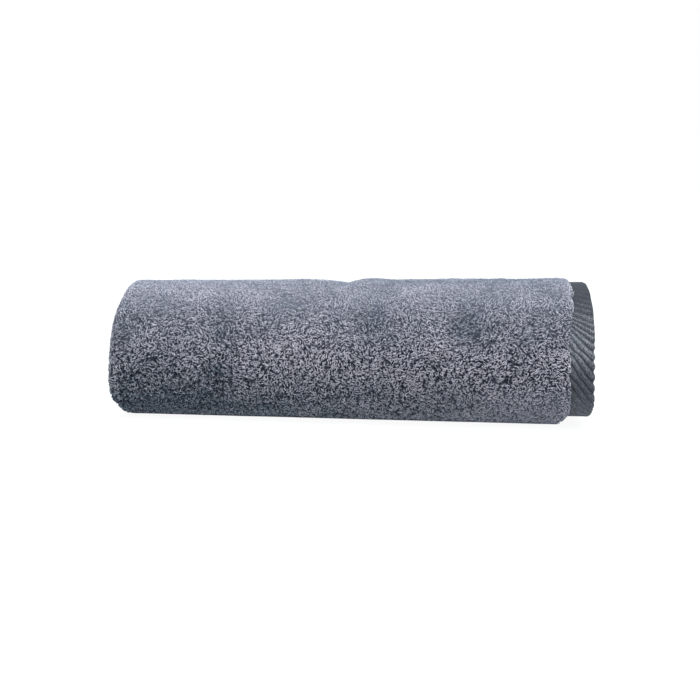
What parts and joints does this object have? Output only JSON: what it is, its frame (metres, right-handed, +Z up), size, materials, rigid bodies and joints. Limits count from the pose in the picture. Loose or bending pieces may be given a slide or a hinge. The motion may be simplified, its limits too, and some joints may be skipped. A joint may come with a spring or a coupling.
{
  "type": "rolled hand towel",
  "caption": "Terry hand towel folded in half and rolled up, lying on its side, with a flat ribbed woven border at its hemmed end.",
  "frame": {"origin": "on the surface that the roll lies on, below the middle of its bounding box", "axes": "+X along the roll from its soft fold towards the bordered hems, -Y out of its smooth front, +Z up"},
  "size_m": [0.3544, 0.1188, 0.1043],
  "materials": {
    "terry": "looped cotton terry pile"
  },
  "bodies": {
    "root": {"towel": "terry"}
  },
  "joints": []
}
